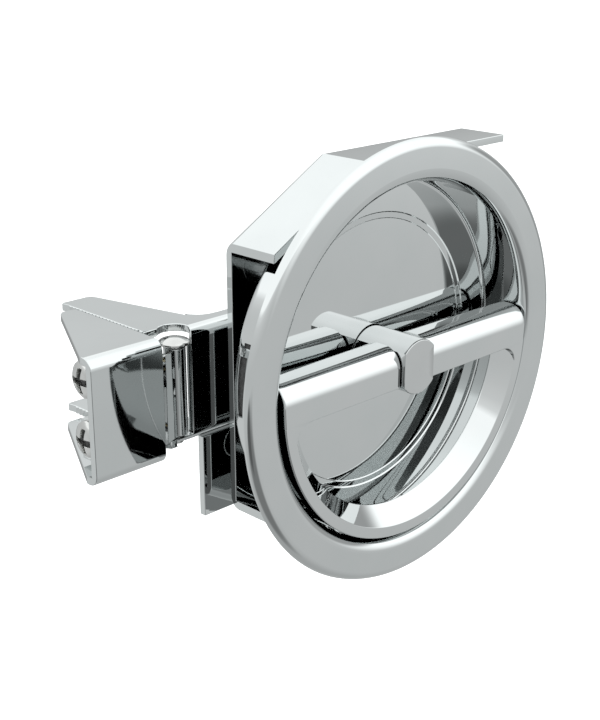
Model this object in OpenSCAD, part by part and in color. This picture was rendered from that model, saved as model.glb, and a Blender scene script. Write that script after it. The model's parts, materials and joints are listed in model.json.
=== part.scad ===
// Flush cam latch: a round dish let into a panel, a folding pull ring on a spindle,
// and behind the panel a channel-section cam arm with a hinged jaw at its end.
// Millimetres. +Z up, +X right as seen by the hand on the ring, +Y into the panel.
// The origin is on the spindle axis, in the plane where the flange seats on the panel.

/* [Flange and dish] */
// Diameter of the mouth, where the lip turns into the dish
mouth_d = 73.4; // [71:0.1:76]
// Width of the flange outside the mouth
flange_w = 7.8; // [7:0.1:12]
// Thickness of the flange in front of the panel
flange_t = 1.5; // [1.3:0.1:2.2]
// Radius of the flange's outer front edge
flange_edge_r = 2.2; // [1:0.1:2.3]
// Width of the rounded lip between the flange's face and the mouth
lip_w = 1.9; // [1.2:0.1:2.2]
// Radius of the rounded lip
lip_r = 2.8; // [2.6:0.1:3.4]
// How much narrower the dish is than its mouth, on each side
dish_narrow = 0.8; // [0.5:0.1:0.9]
// Depth over which the mouth narrows to the dish
mouth_run = 1.6; // [1.2:0.1:2.4]
// Wall of the dish
dish_wall = 0.8; // [0.7:0.1:1.2]
// Depth of the dish floor behind the seating plane
dish_depth = 10.1; // [9.6:0.1:11.4]
// Diameter of the shallow round step in the dish floor
step_d = 57.2; // [50:0.5:62]
// Depth of the step, with its wall at 45 degrees
step_depth = 0.4; // [0.2:0.1:0.8]
// Thickness of the dish floor under the step
floor_t = 1.2; // [1:0.1:2]
// Height of the window in each side of the dish wall
window_h = 11.4; // [6:0.2:14]
// Width of the windows along the dish axis
window_w = 1.8; // [1:0.1:2.2]
// Height of the middle of the windows above the spindle axis
window_up = 2.3; // [0:0.1:4]
// Height of the narrow slot above each window
slot_h = 0.9; // [0.6:0.1:1.4]

/* [Pull ring] */
// Gap between the mouth and the ring, all round
ring_gap = 1.2; // [1.2:0.1:2]
// Width of the flat face of the ring
ring_face_w = 2.3; // [1.6:0.1:3]
// Width of the finger bevel inside the flat face
bevel_w = 4; // [3:0.1:5]
// Thickness of the ring from front to back
ring_t = 4.3; // [3.6:0.1:4.6]
// Height of the crossbar above the spindle axis
bar_up = 4.5; // [4:0.1:5]
// Height of the crossbar below the spindle axis
bar_down = 3.6; // [3.2:0.1:4]
// Thickness of the crossbar from front to back at its ends
bar_t = 8.1; // [7.6:0.1:8.6]
// How much thicker the crossbar is in the middle
bar_belly = 1.8; // [0.8:0.1:2]
// Corner radius of the finger opening
opening_r = 3.5; // [2:0.1:5]
// Diameter of the pivot pin of the ring
pivot_d = 4; // [3:0.1:4.6]
// Length of the pivot pin
pivot_len = 26; // [20:1:40]

/* [Spindle] */
// Diameter of the spindle
spindle_d = 11.1; // [10:0.1:12]
// Width of the tongue between the two halves of the crossbar
tongue_w = 8.5; // [7:0.1:9]
// How far the spindle stands in front of the flange's face
tongue_proud = 1; // [0.4:0.1:1.6]
// Collar that keeps the spindle from being pulled forward
collar_d = 14.4; // [13.6:0.1:15]
// Thickness of the collar
collar_t = 1.5; // [1:0.1:2]
// Width across the flats of the square that drives the arm
square_w = 7.4; // [6:0.1:7.8]
// Thread diameter at the rear of the spindle
thread_d = 6; // [5:0.5:6]
// Outside diameter of the bush around the spindle
bush_d = 18; // [17:0.5:22]
// Neck of the bush in the back plate
bush_neck_d = 15; // [14:0.5:16]
// Cord diameter of the seal ring
seal_cord = 1; // [0.8:0.1:1.4]

/* [Back bracket] */
// Thickness of all folded sheet
sheet_t = 1.5; // [1.2:0.1:1.8]
// Gap for the panel between flange and bracket
panel_gap = 5.8; // [3:0.1:7]
// Distance from the seating plane to the rear face of the bracket
bracket_back = 18.75; // [18.1:0.05:21]
// Left edge of the bracket from the spindle axis
bracket_left = 31; // [29:0.5:33]
// Right edge of the bracket from the spindle axis
bracket_right = 34.5; // [32:0.5:38]
// Height of the bracket's top above the dish
bracket_over = 3.5; // [2.8:0.1:7]
// Slope of the two folded corners on the left
corner_slope = 29.4; // [24:0.2:34]
// Outside radius of the folds
fold_r = 2.2; // [1.8:0.1:2.6]
// Distance of the spacer posts from the spindle axis, across and up
post_at = 19.5; // [17:0.5:21]
// Diameter of the spacer posts
post_d = 7; // [6:0.5:9]
// Thread diameter of the bracket screws
screw_d = 4; // [3:0.5:4]

/* [Cam arm] */
// Half height of the channel section of arm and jaw
channel_up = 11.3; // [11:0.1:12.5]
// Gap between the bracket and the arm
arm_gap = 2; // [1.8:0.1:3]
// Depth of the arm's flanges at the spindle
arm_depth = 4.6; // [4.2:0.1:5]
// Thickness of the stop washer
stop_t = 1.5; // [1.1:0.1:1.7]
// Diameter of the plain washer behind the arm
cam_washer_d = 16; // [14:0.5:20]
// Radial width of the split spring washer
spring_w = 2.6; // [2:0.1:3.4]
// Distance of the jaw seam from the spindle axis
seam_at = 46; // [45.6:0.1:52]
// Distance of the arm's claw tip behind the arm's face
claw_len = 30.4; // [26:0.2:40]
// Pitch of the teeth along the seam
tooth_pitch = 1.1; // [0.9:0.1:1.6]
// Depth of the teeth
tooth_depth = 0.35; // [0.2:0.05:0.45]

/* [Hinged jaw] */
// Width of the jaw from the seam to its outer edge
jaw_w = 16.2; // [14:0.2:20]
// Distance of the jaw's tip behind the arm's face
jaw_len = 25.4; // [22:0.2:29]
// How much lower the jaw's bottom flange lies than the arm's
jaw_drop = 1.6; // [0:0.1:1.8]
// Distance of the hinge pin from the seam
pin_from_seam = 5.4; // [5.2:0.1:6]
// Distance of the hinge pin behind the arm's face
pin_behind = 2.1; // [2.1:0.1:2.6]
// Outside diameter of the rolled eye around the hinge pin
eye_d = 4.1; // [3.8:0.1:4.3]
// Diameter of the hinge pin
pin_d = 2.5; // [2:0.1:2.7]
// Thread diameter of the two jaw screws
jaw_screw_d = 4; // [3:0.5:4]
// Head diameter of the jaw screws
jaw_head_d = 7.2; // [6:0.2:7.4]
// Height of the jaw screws above and below the spindle axis
jaw_screw_up = 5.8; // [5.2:0.1:5.9]

/* [Arm stop] */
// Left edge of the arm stop from the spindle axis
stop_left = 35.3; // [34:0.1:38]
// Bottom of the arm stop below the spindle axis
stop_down = 28.4; // [24:0.2:31]
// Gap between the bracket and the arm stop's face
stop_gap = 2.9; // [1.6:0.1:3.4]
// Width of the foot that the arm stop stands on
foot_w = 7; // [6:0.5:9]

/* [Fits] */
// Radial play of turning fits
run_play = 0.05; // [0.02:0.01:0.08]
// Play between faces that move past each other
face_play = 0.3; // [0.2:0.05:0.4]

/* [Hidden] */
$fn = 72;
eps = 0.01;
far = 200;

// Flange and dish, all along the axis from the seating plane
mouth_r = mouth_d / 2;
flange_r = mouth_r + flange_w;
face_y = -flange_t;
lip_y = face_y + lip_r - sqrt(lip_r * lip_r - lip_w * lip_w);
dish_r = mouth_r - dish_narrow;
dish_out_r = dish_r + dish_wall;
foot_r = 0.8;
step_r = step_d / 2;
floor_y = dish_depth + step_depth;
dish_back = floor_y + floor_t;
dish_corner_r = 1.6;
window_y = dish_depth - 0.3 - window_w / 2;
slot_z = window_up + window_h / 2 + 1.6;
slot_ahead = 0.5;

// Pull ring and its pivot
ring_r = mouth_r - ring_gap;
ring_front = face_y;
ring_back = ring_front + ring_t;
bevel_front_r = ring_r - ring_face_w;
bevel_back_r = bevel_front_r - bevel_w;
bar_round_r = (bar_up + bar_down) / 2;
bar_mid_z = (bar_up - bar_down) / 2;
bar_round_y = ring_front + bar_round_r;
bar_end_back = ring_front + bar_t;
bar_back = bar_end_back + bar_belly;
belly_r = (ring_r * ring_r + bar_belly * bar_belly) / (2 * bar_belly);
pivot_y = bar_round_y;
pivot_r = pivot_d / 2;
bar_gap_x = tongue_w / 2 + face_play;

// Spindle, from front to back
spindle_r = spindle_d / 2;
spindle_front = face_y - tongue_proud;
tongue_back = floor_y - 0.2;
collar_front = dish_back + 0.1;
collar_back = collar_front + collar_t;
plate_front = bracket_back - sheet_t;
arm_front = bracket_back + arm_gap;
arm_back = arm_front + sheet_t;
round_back = arm_front - stop_t - 0.1;
washer_t = 1.4;
spring_t = 1.8;
nut_t = 5;
nut_w = 10;
washer_y = arm_back;
spring_y = washer_y + washer_t;
nut_y = spring_y + spring_t;
spindle_back = nut_y + nut_t + 2;
seal_groove_y = collar_back + 1.2;

// Back bracket
bracket_front = panel_gap;
bracket_up = dish_out_r + bracket_over;
corner_out = dish_out_r + 0.35 + sheet_t;
corner_z = (corner_out - bracket_left * sin(corner_slope)) / cos(corner_slope);
corner_x = (bracket_up * cos(corner_slope) - corner_out) / sin(corner_slope);
post_r = post_d / 2;
screw_r = screw_d / 2;
screw_head_h = 1.4;
screw_head_r = screw_r * 1.75;

// Arm and jaw, in plan behind the arm's face
jaw_gap = 0.25;
flange_in = channel_up - sheet_t;
jaw_low = channel_up + jaw_drop;
neck_y = arm_front + arm_depth;
seam_y = arm_front + 3.9;
teeth_y = seam_y + 0.5;
pin_x = -seam_at + pin_from_seam;
pin_y = arm_front + pin_behind;
eye_r = eye_d / 2;
eye_top = flange_in - 1.9;
eye_bottom = -flange_in + face_play;
notch_r = eye_r + 1.05;
jaw_front = arm_front - sheet_t - 0.1;
jaw_right = -seam_at - jaw_gap;
jaw_left = -seam_at - jaw_w;
jaw_head_h = 2.4;
jaw_head_r = jaw_head_d / 2;
ear_x = jaw_left + 0.9 + jaw_head_h;
jaw_screw_y = jaw_front + sheet_t + jaw_head_r + 0.25;
ear_reach = jaw_screw_y + jaw_head_r - 0.4;
jaw_screw_tip = -seam_at - jaw_gap / 2;
arm_ear_x = jaw_screw_tip + face_play;

// Travel stops on the bracket
stop_disc_r = 10.5;
tooth_reach = 15;
tooth_half = 3;
stop_pin_r = 1.5;
stop_pin_at = 13;
stop_pin_off = tooth_half + stop_pin_r + face_play;

// Arm stop
stop_top = -channel_up - face_play;
stop_front = bracket_back + stop_gap;
stop_right = -14;
foot_right = stop_right + foot_w;
rivet_r = 1.5;
rivet_x = stop_right + foot_w / 2;
rivet_z = [stop_top - 4.2, -stop_down + 4.6];

// Turns a body that was drawn along Z so that it runs along +Y
module along_y(y) {
    translate([0, y, 0]) rotate([-90, 0, 0]) children();
}

// Turns a body that was drawn along Z so that it runs along +X
module along_x(x, y, z) {
    translate([x, y, z]) rotate([0, 90, 0]) children();
}

// What a rounded outer edge takes off a square corner at the origin
module corner_waste(r) {
    difference() {
        translate([-eps, -eps]) square(r + eps);
        translate([r, r]) circle(r);
    }
}

// An outline in the X-Z plane, carried along +Y from y0 to y1
module slab_y(y0, y1) {
    translate([0, y1, 0]) rotate([90, 0, 0]) linear_extrude(y1 - y0) children();
}

// A low domed head of radius r and height h, its seat at the origin
module domed_head(r, h) {
    dome_r = (r * r + h * h * 0.36) / (1.2 * h);
    rotate_extrude() intersection() {
        square([r, h]);
        translate([0, h - dome_r]) circle(dome_r);
    }
}

// A cross recess, centred on the axis of a screw head and depth deep below z
module cross_recess(size, depth, z) {
    for (a = [0, 90]) rotate([0, 0, a])
        translate([-size / 2, -size / 9, z - depth]) cube([size, size * 2 / 9, depth + 1]);
    translate([0, 0, z - depth * 1.3]) cylinder(h = depth, r1 = 0.2, r2 = size / 4);
}

// Section of flange and dish: radius across, depth behind the seating plane up
module dish_section() {
    difference() {
        union() {
            translate([dish_r, face_y]) square([flange_r - dish_r, flange_t]);
            translate([dish_r, face_y]) square([dish_wall, dish_back - face_y]);
            translate([0, dish_depth]) square([dish_out_r, dish_back - dish_depth]);
            translate([dish_r - foot_r, dish_depth - foot_r]) difference() {
                square(foot_r + eps);
                circle(foot_r);
            }
        }
        translate([flange_r, face_y]) mirror([1, 0]) corner_waste(flange_edge_r);
        translate([dish_out_r, dish_back]) mirror([1, 0]) mirror([0, 1]) corner_waste(dish_corner_r);
        difference() {
            translate([0, face_y - eps]) square([mouth_r + lip_w, lip_y - face_y + eps]);
            translate([mouth_r + lip_w, face_y + lip_r]) circle(lip_r);
        }
        polygon([[0, lip_y - eps], [mouth_r, lip_y - eps], [dish_r, lip_y + mouth_run], [0, lip_y + mouth_run]]);
        polygon([[0, dish_depth - eps], [step_r, dish_depth - eps], [step_r - step_depth, floor_y], [0, floor_y]]);
    }
}

module bezel_dish() {
    color("gainsboro") difference() {
        along_y(0) rotate_extrude($fn = 144) dish_section();
        along_y(dish_depth) cylinder(h = 10, r = spindle_r + run_play * 4);
        for (side = [-1, 1]) {
            translate([side * dish_r - 3, window_y - window_w / 2, window_up - window_h / 2])
                cube([6, window_w, window_h]);
            translate([side * dish_r - 3, window_y - window_w / 2 - slot_ahead, slot_z])
                cube([6, window_w, slot_h]);
        }
    }
}

// Crossbar with a round top, straight in front and bellied behind
module crossbar() {
    reach = ring_r + 1;
    intersection() {
        translate([-reach, 0, 0]) rotate([90, 0, 90]) linear_extrude(2 * reach) difference() {
            translate([ring_front, -bar_down]) square([bar_back - ring_front, bar_up + bar_down]);
            translate([ring_front, bar_up]) mirror([0, 1]) corner_waste(bar_round_r);
            translate([bar_back, bar_up]) mirror([1, 0]) mirror([0, 1]) corner_waste(bar_round_r);
            translate([bar_back, -bar_down]) mirror([1, 0]) corner_waste(2);
        }
        translate([0, bar_back - belly_r, -bar_down - 1]) cylinder(h = far, r = belly_r, $fn = 360);
        along_y(ring_front) cylinder(h = far, r = ring_r, $fn = 144);
    }
}

// Fills the upper corners of the finger opening up to a round of radius opening_r
module opening_corner(side) {
    centre_z = -bar_down - opening_r;
    centre_x = sqrt(pow(bevel_front_r - opening_r, 2) - centre_z * centre_z);
    slab_y(ring_front, ring_back) difference() {
        intersection() {
            circle(ring_r - ring_face_w / 2, $fn = 144);
            translate([side * (centre_x + far / 2), centre_z + (opening_r + 0.5) / 2])
                square([far, opening_r + 0.5], center = true);
        }
        translate([side * centre_x, centre_z]) circle(opening_r);
    }
}

module pull_ring() {
    color("silver") difference() {
        union() {
            intersection() {
                along_y(0) rotate_extrude($fn = 144) polygon([[bevel_front_r, ring_front], [ring_r, ring_front],
                    [ring_r, ring_back], [bevel_back_r, ring_back]]);
                translate([-far / 2, -far / 2, -far - bar_down / 2]) cube(far);
            }
            crossbar();
            for (side = [-1, 1]) opening_corner(side);
        }
        translate([-bar_gap_x, ring_front - 1, -bar_down - 1]) cube([2 * bar_gap_x, far, far]);
        along_x(-pivot_len / 2 - 0.2, pivot_y, 0) cylinder(h = far, r = pivot_r + 0.02);
    }
}

module ring_pivot_pin() {
    color("gray") along_x(-pivot_len / 2, pivot_y, 0) cylinder(h = pivot_len, r = pivot_r);
}

module spindle() {
    color("gainsboro") difference() {
        union() {
            intersection() {
                union() {
                    along_y(spindle_front) cylinder(h = 0.4, r1 = spindle_r - 0.4, r2 = spindle_r);
                    along_y(spindle_front + 0.4) cylinder(h = tongue_back - spindle_front, r = spindle_r);
                }
                translate([-tongue_w / 2, spindle_front - 1, -far / 2])
                    cube([tongue_w, tongue_back - spindle_front + 1, far]);
            }
            along_y(tongue_back) cylinder(h = round_back - tongue_back, r = spindle_r);
            along_y(collar_front) cylinder(h = collar_t, r = collar_d / 2);
            translate([-square_w / 2, round_back - eps, -square_w / 2])
                cube([square_w, arm_back - round_back, square_w]);
            along_y(arm_back - 1) cylinder(h = spindle_back - arm_back + 0.5, r = thread_d / 2);
            along_y(spindle_back - 0.5) cylinder(h = 0.5, r1 = thread_d / 2, r2 = thread_d / 2 - 0.5);
        }
        along_x(-far / 2, pivot_y, 0) cylinder(h = far, r = pivot_r + run_play);
        along_y(seal_groove_y) difference() {
            cylinder(h = seal_cord * 1.2, r = spindle_r + 1);
            translate([0, 0, -1]) cylinder(h = seal_cord + 3, r = spindle_r - seal_cord);
        }
    }
}

module spindle_seal() {
    color("dimgray") along_y(seal_groove_y + seal_cord * 0.6)
        rotate_extrude() translate([spindle_r - seal_cord / 2, 0]) circle(seal_cord / 2, $fn = 32);
}

module spindle_bush() {
    color("darkkhaki") along_y(dish_back) difference() {
        union() {
            cylinder(h = plate_front - dish_back, r = bush_d / 2);
            cylinder(h = bracket_back - dish_back, r = bush_neck_d / 2);
        }
        translate([0, 0, -1]) cylinder(h = far, r = spindle_r + run_play);
        translate([0, 0, -1]) cylinder(h = collar_back - dish_back + 1.1, r = collar_d / 2 + 0.2);
    }
}

// Places its children at the four fixing points of the bracket
module at_posts(y) {
    for (sx = [-1, 1], sz = [-1, 1]) translate([sx * post_at, y, sz * post_at])
        rotate([-90, 0, 0]) children();
}

module spacer_posts() {
    color("silver") at_posts(dish_back) difference() {
        cylinder(h = plate_front - dish_back, r = post_r);
        translate([0, 0, 1]) cylinder(h = far, r = screw_r + 0.02);
    }
}

// Outline of the bracket seen from the front; inset moves every folded side inwards,
// and over carries it past the two open sides
module bracket_outline(inset, over) {
    slope_out = corner_out - inset;
    top = bracket_up - inset;
    left_x = bracket_left + over;
    left_z = (slope_out - left_x * sin(corner_slope)) / cos(corner_slope);
    top_x = (top * cos(corner_slope) - slope_out) / sin(corner_slope);
    half = [[-left_x, left_z], [top_x, top], [bracket_right + over, top]];
    polygon(concat(half, [for (i = [2:-1:0]) [half[i][0], -half[i][1]]]));
}

// Rounds the fold along the outline's straight side from p to q in small flats, which mitre cleanly
module fold_waste(p, q) {
    side = q - p;
    flats = 7;
    over = 5;
    arc = [for (i = [0:flats]) [fold_r * (1 - sin(90 * i / flats)), fold_r * (1 - cos(90 * i / flats))]];
    translate([p[0], bracket_back, p[1]])
        rotate([0, -atan2(side[1], side[0]), 0])
            translate([-over, 0, 0]) rotate([90, 0, 90]) linear_extrude(norm(side) + 2 * over)
                mirror([1, 0]) mirror([0, 1]) polygon(concat(arc, [[-1, fold_r], [-1, -1], [fold_r, -1]]));
}

module back_bracket() {
    left = [-bracket_left, corner_z];
    peak = [corner_x, bracket_up];
    right = [bracket_right, bracket_up];
    color("gainsboro") difference() {
        slab_y(bracket_front, bracket_back) bracket_outline(0, 0);
        slab_y(bracket_front - 1, plate_front) bracket_outline(sheet_t, 1);
        for (flip = [0, 1]) mirror([0, 0, flip]) {
            fold_waste(left, peak);
            fold_waste(peak, right);
        }
        along_y(plate_front - 1) cylinder(h = 10, r = bush_neck_d / 2 + run_play);
        at_posts(plate_front - 1) cylinder(h = 10, r = screw_r + 0.15);
        for (p = stop_pin_places()) translate([p[0], plate_front - 1, p[1]]) rotate([-90, 0, 0])
            cylinder(h = 10, r = stop_pin_r + 0.01);
        for (z = rivet_z) translate([rivet_x, plate_front - 1, z]) rotate([-90, 0, 0])
            cylinder(h = 10, r = rivet_r + 0.01);
    }
}

module bracket_screws() {
    color("silver") at_posts(bracket_back) difference() {
        union() {
            domed_head(screw_head_r, screw_head_h);
            translate([0, 0, -sheet_t - 4]) cylinder(h = sheet_t + 4, r = screw_r);
        }
        cross_recess(screw_head_r * 1.1, 0.8, screw_head_h);
    }
}

// Where the two stop pins stand, across and up
function stop_pin_places() = [[stop_pin_at, stop_pin_off], [-stop_pin_off, -stop_pin_at]];

module stop_washer() {
    color("silver") slab_y(arm_front - stop_t, arm_front) difference() {
        union() {
            circle(stop_disc_r);
            translate([0, -tooth_half]) square([tooth_reach, 2 * tooth_half]);
        }
        square(square_w + 0.1, center = true);
    }
}

module stop_pins() {
    color("gray") for (p = stop_pin_places()) translate([p[0], plate_front, p[1]])
        rotate([-90, 0, 0]) cylinder(h = arm_front - plate_front - face_play, r = stop_pin_r);
}

// Teeth along the seam as points from y0 to y1 at x, leaning towards side
function teeth(x, y0, y1, side) = [
    for (i = [0:floor((y1 - y0) / tooth_pitch) - 1])
        for (k = [0, 1]) [x + (k == 0 ? 0 : side * tooth_depth), y0 + (i + k / 2) * tooth_pitch]
];

// Plan of the arm's flange with its claw
module claw_plan() {
    tip_r = 2.2;
    seam = -seam_at;
    tip = arm_front + claw_len;
    claw_top = [seam + tip_r + 3.2, tip - tip_r];
    neck_r = 4.6;
    polygon(concat(
        [[pin_x + 3, arm_front], [seam + 2.3, arm_front], [seam, seam_y]],
        teeth(seam, teeth_y, tip - 1, 1),
        [[seam, tip - 0.4], [seam + 0.6, tip], [seam + 3.4, tip]],
        [for (a = [80:-16:16]) [claw_top[0] + tip_r * cos(a), claw_top[1] + tip_r * sin(a)]],
        [[seam + 12.6, arm_front + 7.2]],
        [for (a = [196:15:271]) [seam + 17.4 + neck_r * cos(a), neck_y + neck_r + neck_r * sin(a)]],
        [[0, neck_y], [0, arm_front]]));
    translate([pin_x + 2.3, arm_front]) square([-pin_x - 2.3, 2]);
}

// Rounds the upper and lower fold of a channel whose face is at y and which runs from x0 to x1
module channel_folds(x0, x1, y, top, bottom) {
    translate([x0, y, top]) rotate([90, 0, 90]) linear_extrude(x1 - x0)
        mirror([0, 1]) corner_waste(fold_r);
    translate([x0, y, -bottom]) rotate([90, 0, 90]) linear_extrude(x1 - x0) corner_waste(fold_r);
}

module cam_arm() {
    web_left = pin_x + eye_r + 0.25;
    color("silver") difference() {
        union() {
            translate([0, 0, flange_in]) linear_extrude(sheet_t) claw_plan();
            translate([0, 0, -channel_up]) linear_extrude(sheet_t) claw_plan();
            slab_y(arm_front, arm_back) {
                translate([web_left, -channel_up]) square([-web_left, 2 * channel_up]);
                circle(channel_up);
            }
            for (flip = [0, 1]) mirror([0, 0, flip])
                translate([arm_ear_x, pin_y + 0.4, jaw_screw_up - jaw_screw_d * 0.7])
                    cube([sheet_t, jaw_screw_y + 2 - pin_y, flange_in - jaw_screw_up + jaw_screw_d * 0.7 + 0.5]);
        }
        channel_folds(web_left - 4, 0, arm_front, channel_up, channel_up);
        translate([pin_x, pin_y, eye_top + 0.5]) cylinder(h = 20, r = notch_r);
        translate([-seam_at - 1, arm_front - 1, eye_top + 0.5]) cube([pin_from_seam + 1, 5.2, 20]);
        translate([pin_x, pin_y, -far / 2]) cylinder(h = far, r = pin_d / 2 + 0.02);
        slab_y(arm_front - 1, arm_back + 1) square(square_w + 0.1, center = true);
    }
}

// A flat ring of sheet around the spindle's thread
module thread_washer(y, t, r) {
    along_y(y) difference() {
        cylinder(h = t, r = r);
        translate([0, 0, -1]) cylinder(h = t + 2, r = thread_d / 2 + 0.15);
    }
}

module cam_washer() {
    color("silver") thread_washer(washer_y, washer_t, cam_washer_d / 2);
}

module spring_washer() {
    color("gray") difference() {
        thread_washer(spring_y, spring_t, thread_d / 2 + spring_w);
        translate([-0.5, spring_y - 1, 0]) cube([1, 10, 20]);
    }
}

module cam_nut() {
    color("silver") along_y(nut_y) difference() {
        intersection() {
            cylinder(h = nut_t, r = nut_w / sqrt(3), $fn = 6);
            cylinder(h = nut_t, r1 = nut_w / 2 + nut_t, r2 = nut_w / 2 + 0.2);
        }
        translate([0, 0, -1]) cylinder(h = nut_t + 2, r = thread_d / 2 + 0.02);
    }
}

// The same points in the opposite order
function reversed(points) = [for (i = [len(points) - 1:-1:0]) points[i]];

// Plan of the jaw's flange, its teeth facing the arm's
module jaw_plan() {
    tip_r = 1.8;
    tip = arm_front + jaw_len;
    tip_x = jaw_left + 11.6;
    slope = atan2(tip - tip_r - jaw_front - 3.1, tip_x - jaw_left);
    tips = [tip_x + tip_r + 0.2, tip - tip_r];
    polygon(concat(
        [[jaw_right, tip], [jaw_right, tip - 1]],
        reversed(teeth(jaw_right, teeth_y, tip - 2, 1)),
        [[jaw_right, seam_y], [jaw_right, jaw_front], [jaw_left, jaw_front], [jaw_left, jaw_front + 3]],
        [for (a = [90 + slope:-14:92]) [tips[0] + tip_r * cos(a), tips[1] + tip_r * sin(a)]]));
}

module hinged_jaw() {
    neck_t = 1.05;
    neck = [pin_x - jaw_right, pin_y - jaw_front - 0.6];
    reach = norm(neck);
    color("gainsboro") difference() {
        union() {
            difference() {
                union() {
                    translate([0, 0, flange_in]) linear_extrude(sheet_t) jaw_plan();
                    translate([0, 0, -jaw_low]) linear_extrude(sheet_t) jaw_plan();
                    slab_y(jaw_front, jaw_front + sheet_t)
                        translate([jaw_left, -jaw_low]) square([jaw_w - jaw_gap, channel_up + jaw_low]);
                    for (flip = [0, 1]) mirror([0, 0, flip]) translate([ear_x, jaw_front + 1, 0.4])
                        translate([0, 0, jaw_screw_up - jaw_head_r]) cube([sheet_t, ear_reach - jaw_front - 1,
                            channel_up - jaw_screw_up + jaw_head_r - 1.2]);
                }
                channel_folds(jaw_left - 5, jaw_right + 1, jaw_front, channel_up, jaw_low);
            }
            translate([pin_x, pin_y, eye_bottom]) cylinder(h = eye_top - eye_bottom, r = eye_r);
            translate([jaw_right - 0.6, jaw_front + 0.1, eye_bottom])
                rotate([0, 0, atan2(neck[1] - 1, neck[0])])
                    cube([reach - 1.3, neck_t, eye_top - eye_bottom]);
        }
        translate([pin_x, pin_y, -far / 2]) cylinder(h = far, r = pin_d / 2 + run_play);
        for (sz = [-1, 1]) along_x(ear_x - 5, jaw_screw_y, sz * jaw_screw_up)
            cylinder(h = 10, r = jaw_screw_d / 2 + 0.02);
    }
}

module jaw_pin() {
    color("silver") translate([pin_x, pin_y, 0]) {
        translate([0, 0, -channel_up]) cylinder(h = channel_up + eye_top + 0.4, r = pin_d / 2);
        translate([0, 0, eye_top + 0.2]) domed_head(eye_r, 1.6);
    }
}

// One jaw screw, its head towards the open side of the jaw
module jaw_screw(z) {
    translate([ear_x, jaw_screw_y, z]) rotate([0, -90, 0]) difference() {
        union() {
            domed_head(jaw_head_r, jaw_head_h);
            translate([0, 0, ear_x - jaw_screw_tip + 0.6])
                cylinder(h = jaw_screw_tip - ear_x - 0.6, r = jaw_screw_d / 2);
            translate([0, 0, ear_x - jaw_screw_tip])
                cylinder(h = 0.6, r1 = jaw_screw_d / 2 - 0.6, r2 = jaw_screw_d / 2);
        }
        cross_recess(jaw_head_r * 1.25, 1.3, jaw_head_h);
    }
}

module upper_jaw_screw() {
    color("silver") jaw_screw(jaw_screw_up);
}

module lower_jaw_screw() {
    color("silver") jaw_screw(-jaw_screw_up);
}

module arm_stop() {
    stop_h = stop_top + stop_down;
    step_h = stop_front + sheet_t - bracket_back;
    color("gainsboro") difference() {
        union() {
            translate([-stop_left, stop_front, -stop_down])
                cube([stop_left + stop_right, sheet_t, stop_h]);
            translate([stop_right - sheet_t, bracket_back, -stop_down]) cube([sheet_t, step_h, stop_h]);
            translate([stop_right - sheet_t, bracket_back, -stop_down])
                cube([foot_right - stop_right + sheet_t, sheet_t, stop_h]);
        }
        translate([stop_right, stop_front + sheet_t, -far / 2]) linear_extrude(far)
            mirror([1, 0]) mirror([0, 1]) corner_waste(sheet_t);
        for (z = rivet_z) translate([rivet_x, bracket_back - 1, z]) rotate([-90, 0, 0])
            cylinder(h = 10, r = rivet_r + 0.01);
    }
}

module stop_rivets() {
    color("silver") for (z = rivet_z) translate([rivet_x, plate_front, z]) rotate([-90, 0, 0]) {
        cylinder(h = 2 * sheet_t, r = rivet_r);
        translate([0, 0, 2 * sheet_t]) domed_head(rivet_r * 1.7, 1);
        rotate([180, 0, 0]) domed_head(rivet_r * 1.7, 1);
    }
}

bezel_dish();
pull_ring();
ring_pivot_pin();
spindle();
spindle_seal();
spindle_bush();
spacer_posts();
back_bracket();
bracket_screws();
stop_washer();
stop_pins();
cam_arm();
cam_washer();
spring_washer();
cam_nut();
hinged_jaw();
jaw_pin();
upper_jaw_screw();
lower_jaw_screw();
arm_stop();
stop_rivets();
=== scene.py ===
# %% [markdown]
# # A flush cam latch, polished like a mirror
# A flush cam latch keeps a hatch or a locker shut. Its dish lies flat in the door, a folding ring lies in the dish,
# and behind the door an arm with a hinged jaw swings with the ring.
# The frame brings in every solid of the latch at its real place. This lesson turns and mills many pieces again
# as smooth surfaces with the small round edges that polishing leaves, rolls the edges of the others, gives each its
# finish, and builds the room. A mirror has no colour of its own: it shows the room, so the room gets as much care
# as the latch.

# %% Load the frame
import bmesh
import bpy
import json
import math
import numpy as np
from mathutils import Matrix, Vector


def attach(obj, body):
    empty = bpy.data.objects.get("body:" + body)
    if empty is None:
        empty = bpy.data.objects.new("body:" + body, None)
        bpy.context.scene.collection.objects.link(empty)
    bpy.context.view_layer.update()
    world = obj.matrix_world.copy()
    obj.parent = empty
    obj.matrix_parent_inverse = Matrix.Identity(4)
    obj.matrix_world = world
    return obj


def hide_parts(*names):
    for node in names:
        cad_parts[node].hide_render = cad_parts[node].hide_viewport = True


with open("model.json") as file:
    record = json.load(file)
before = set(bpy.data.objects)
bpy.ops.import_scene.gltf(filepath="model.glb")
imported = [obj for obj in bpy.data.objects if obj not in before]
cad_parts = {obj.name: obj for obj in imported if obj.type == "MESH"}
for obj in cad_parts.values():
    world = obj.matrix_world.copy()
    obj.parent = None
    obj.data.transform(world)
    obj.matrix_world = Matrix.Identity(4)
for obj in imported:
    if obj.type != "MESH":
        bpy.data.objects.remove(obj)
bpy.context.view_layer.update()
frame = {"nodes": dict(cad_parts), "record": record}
scene = bpy.context.scene
mm = 0.001
behaviour = frame["record"]["behaviour"]
body_of = {node: body for body, nodes in behaviour["bodies"].items() for node in nodes}
slot_of = {part["node"]: part["material_slot"] for part in frame["record"]["subparts"]}

# %% [markdown]
# The photograph was taken from the left of the ring and a little above it. The flange is a true circle and the
# edges run along three directions at right angles. The camera's angles, place and lens were solved from these. Only
# the scale needed another cue, because a photograph of a small thing nearby looks like one of a large thing far off.
# Blender measures the lens against the longer side of the picture, here its height of 720 pixels.

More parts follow.
